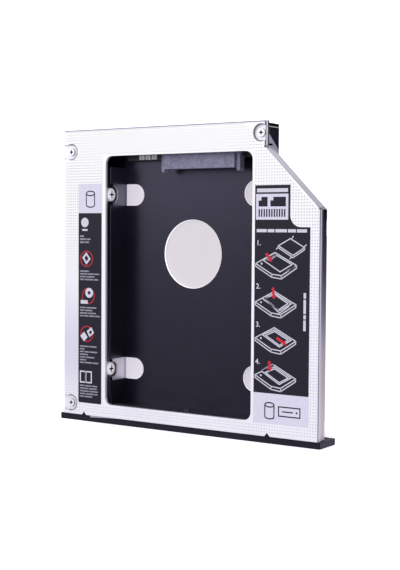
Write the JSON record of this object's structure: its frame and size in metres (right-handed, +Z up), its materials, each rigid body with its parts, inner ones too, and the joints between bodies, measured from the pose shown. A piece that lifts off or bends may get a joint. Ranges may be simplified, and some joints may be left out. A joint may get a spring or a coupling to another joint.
{
  "type": "laptop drive caddy",
  "caption": "Slim folded-aluminium caddy with an open bay for a 2.5-inch drive, a drive receptacle inside, a slim plug at the rear and a black front bezel.",
  "frame": {"origin": "under the middle of the whole caddy, bezel included, on the plane that it lies on", "axes": "+Z up through the window, -Y towards the bezel, +Y towards the host plug, +X towards the thin wing"},
  "size_m": [0.131, 0.1288, 0.0127],
  "materials": {
    "sheet": "satin rolled sheet",
    "cover_sheet": "fine dotted satin sheet",
    "rail_black": "matt black",
    "liner": "matt black insulating film",
    "bezel": "fine moulded texture",
    "connector": "moulded",
    "host_connector": "moulded",
    "contact": "gold plated",
    "lock": "tinned",
    "board": "solder-masked laminate",
    "capacitor": "fired ceramic chip",
    "screw": "nickel plated",
    "rivet": "plain",
    "label": "printed film"
  },
  "bodies": {
    "root": {"base_tray": "sheet", "top_cover": "cover_sheet", "left_rail": "sheet", "right_rail": "sheet", "front_rail": "rail_black", "bay_liner": "liner", "bezel": "bezel", "receptacle_housing": "connector", "signal_contacts": "contact", "power_contacts": "contact", "receptacle_board_locks": "lock", "circuit_board": "board", "host_plug_housing": "host_connector", "host_signal_contacts": "contact", "host_power_contacts": "contact", "host_plug_board_locks": "lock", "board_capacitors": "capacitor", "board_standoffs": "screw", "board_screws": "screw", "cover_screws": "screw", "stop_screws": "screw", "rail_rivets": "rivet", "right_label": "label", "left_label": "label"}
  },
  "joints": []
}
